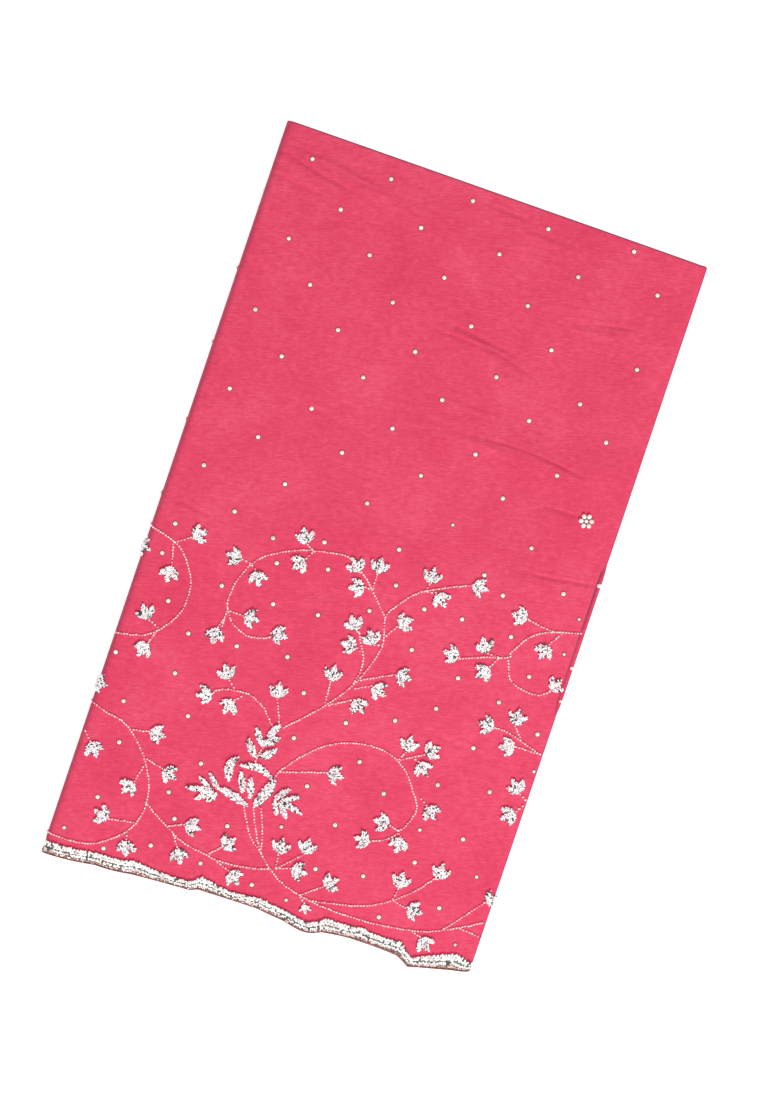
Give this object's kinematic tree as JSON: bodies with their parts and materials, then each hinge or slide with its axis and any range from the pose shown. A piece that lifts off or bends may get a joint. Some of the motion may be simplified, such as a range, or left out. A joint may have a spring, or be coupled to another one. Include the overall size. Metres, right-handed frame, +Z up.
{
  "type": "folded crepe saree",
  "caption": "Crepe saree folded flat into a stack, with a raised bead vine of flowers, a lotus and a beaded scalloped hem.",
  "frame": {"origin": "centre of the flat underside's box, on the surface that the folded saree lies on", "axes": "+X to the right along the hem, +Y from the scalloped hem to the fold along the middle of the cloth, +Z up"},
  "size_m": [0.3442, 0.6004, 0.0214],
  "materials": {
    "crepe": "matt crepe with fine crinkled threads",
    "crepe_shaded": "matt crepe, as seen at the folded edges",
    "beadwork": "silver-lined and cream cut glass beads, sewn close together"
  },
  "bodies": {
    "root": {"top_stretch": "crepe", "second_stretch": "crepe", "folded_layers": "crepe_shaded", "hem_border": "beadwork"}
  },
  "joints": []
}
